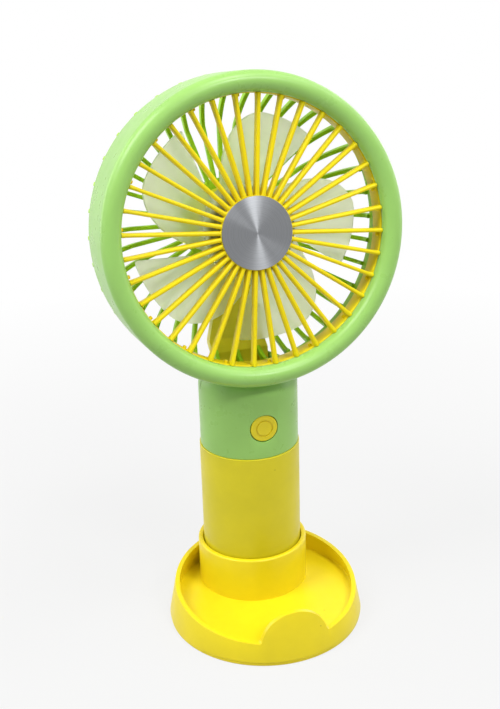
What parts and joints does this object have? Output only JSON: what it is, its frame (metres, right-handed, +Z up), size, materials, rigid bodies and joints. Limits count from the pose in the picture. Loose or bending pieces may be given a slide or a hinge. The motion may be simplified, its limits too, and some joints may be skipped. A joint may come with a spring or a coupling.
{
  "type": "handheld fan",
  "caption": "Handheld fan with a round guarded head, a translucent impeller and a cylindrical handle that stands in a round desk base with a phone rest.",
  "frame": {"origin": "centre of the desk base's underside", "axes": "+Z up along the handle, -Y towards the front of the fan, +X to the right of someone who looks at its front"},
  "size_m": [0.1086, 0.0819, 0.2057],
  "materials": {
    "base_yellow": "smooth moulded",
    "grip_yellow": "smooth moulded",
    "case_green": "smooth moulded",
    "grille_yellow": "smooth moulded",
    "guard_green": "satin moulded",
    "bracket_yellow": "smooth moulded",
    "disc_aluminium": "radially spun",
    "button_yellow": "smooth moulded",
    "blade_clear": "translucent moulded",
    "screw_steel": "zinc plated",
    "motor_steel": "bare",
    "magnet_dark": "bonded magnet",
    "bearing_brass": "sintered",
    "copper_wire": "enamelled",
    "board_green": "laminate",
    "black_plastic": "moulded",
    "lens_clear": "clear",
    "cell_wrap": "shrink wrap",
    "foam_grey": "foam",
    "cable_red": "insulated",
    "white_plastic": "moulded",
    "port_steel": "plated"
  },
  "bodies": {
    "base": {"base_tray": "base_yellow", "base_bottom_plate": "base_yellow", "base_screws": "screw_steel"},
    "fan": {"grip_sleeve": "grip_yellow", "neck_front_shell": "case_green", "neck_rear_shell": "case_green", "neck_screws": "screw_steel", "battery_cell": "cell_wrap", "battery_foam_pad": "foam_grey", "battery_cradle": "white_plastic", "circuit_board": "board_green", "battery_leads": "cable_red", "power_switch": "black_plastic", "charging_port": "port_steel", "charging_port_tongue": "black_plastic", "indicator_lens": "lens_clear", "bezel_ring": "case_green", "front_grille": "grille_yellow", "hub_disc": "disc_aluminium", "rear_guard": "guard_green", "bracket_screws": "screw_steel", "motor_bracket": "bracket_yellow", "motor_bearing": "bearing_brass", "stator_core": "motor_steel", "stator_coils": "copper_wire", "motor_board": "board_green", "motor_cable": "cable_red"},
    "impeller": {"impeller": "blade_clear", "motor_shaft": "motor_steel", "rotor_yoke": "motor_steel", "rotor_magnet": "magnet_dark"},
    "button": {"power_button": "button_yellow", "switch_plunger": "white_plastic"}
  },
  "joints": [
    {"name": "fan_lift", "type": "slide", "parent": "base", "child": "fan", "axis": [0, 0, 1], "range_m": [0, 0.0221]},
    {"name": "impeller_spin", "type": "hinge", "parent": "fan", "child": "impeller", "pos_m": [0, 0.01409, 0.14987], "axis": [0, -0.9905, 0.1374], "continuous": true},
    {"name": "power_button_press", "type": "slide", "parent": "fan", "child": "button", "axis": [0, 1, 0], "range_m": [0, 0.0005], "stiffness_N_per_m": 4000}
  ]
}
